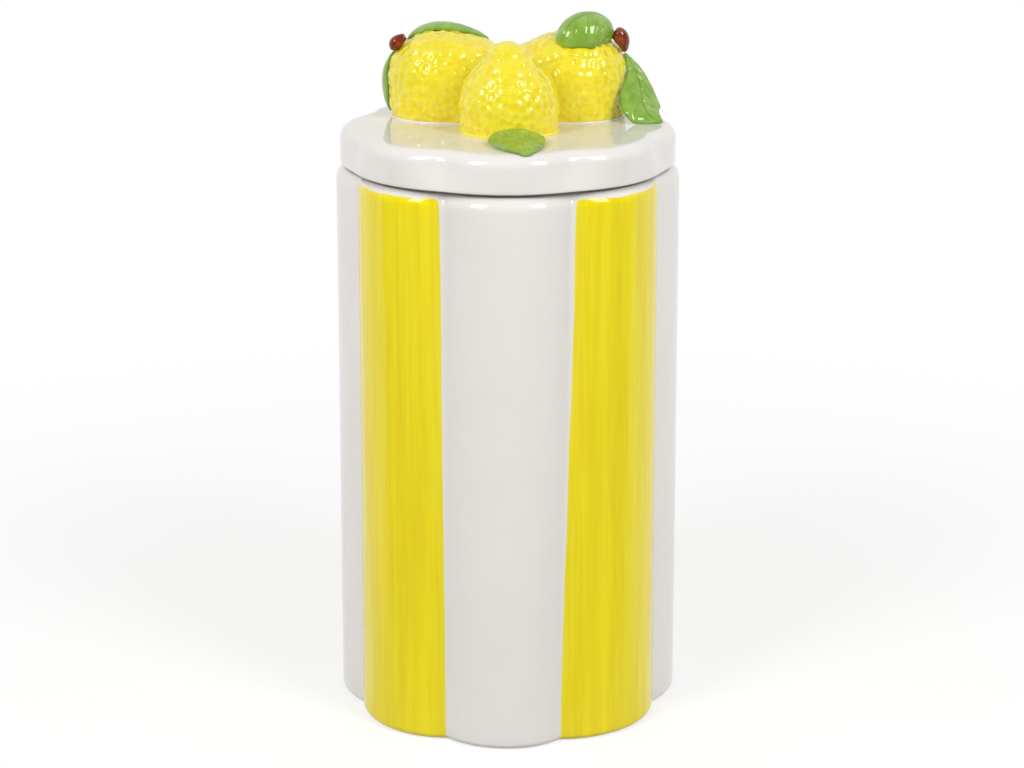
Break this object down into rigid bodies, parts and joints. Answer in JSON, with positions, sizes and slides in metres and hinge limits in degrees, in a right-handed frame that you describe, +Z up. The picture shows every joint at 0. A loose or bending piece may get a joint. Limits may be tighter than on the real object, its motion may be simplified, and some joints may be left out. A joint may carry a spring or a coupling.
{
  "type": "ceramic storage canister",
  "caption": "Tall scalloped ceramic canister with a sealed lift-off lid, whose knob is a cluster of lemons and leaves.",
  "frame": {"origin": "centre of the underside of the jar's foot ring, on the surface that the jar stands on", "axes": "+Z up along the jar's turning axis, -Y towards the front, where the upright lemon and its leaf are, +X to the right as seen from the front"},
  "size_m": [0.1224, 0.1224, 0.2478],
  "materials": {
    "white_glaze": "gloss white glaze with hand-painted yellow stripes on every other lobe",
    "yellow_glaze": "gloss clear glaze over pitted yellow",
    "leaf_glaze": "gloss clear glaze over green",
    "stem_glaze": "gloss clear glaze over brown",
    "seal_silicone": "translucent white silicone, satin"
  },
  "bodies": {
    "canister": {"canister_body": "white_glaze"},
    "seal": {"seal_ring": "seal_silicone"},
    "lid": {"lid": "white_glaze", "lemon_front": "yellow_glaze", "lemon_left": "yellow_glaze", "lemon_right": "yellow_glaze", "leaf_left_back": "leaf_glaze", "leaf_left_side": "leaf_glaze", "leaf_right_top": "leaf_glaze", "leaf_right_side": "leaf_glaze", "leaf_front": "leaf_glaze", "stem_left": "stem_glaze", "stem_right": "stem_glaze"}
  },
  "joints": [
    {"name": "lid_lift", "type": "slide", "parent": "canister", "child": "seal", "axis": [0, 0, 1], "range_m": [0, 0.12]},
    {"name": "lid_turn", "type": "hinge", "parent": "seal", "child": "lid", "pos_m": [0, 0, 0.196], "axis": [0, 0, 1], "continuous": true}
  ]
}
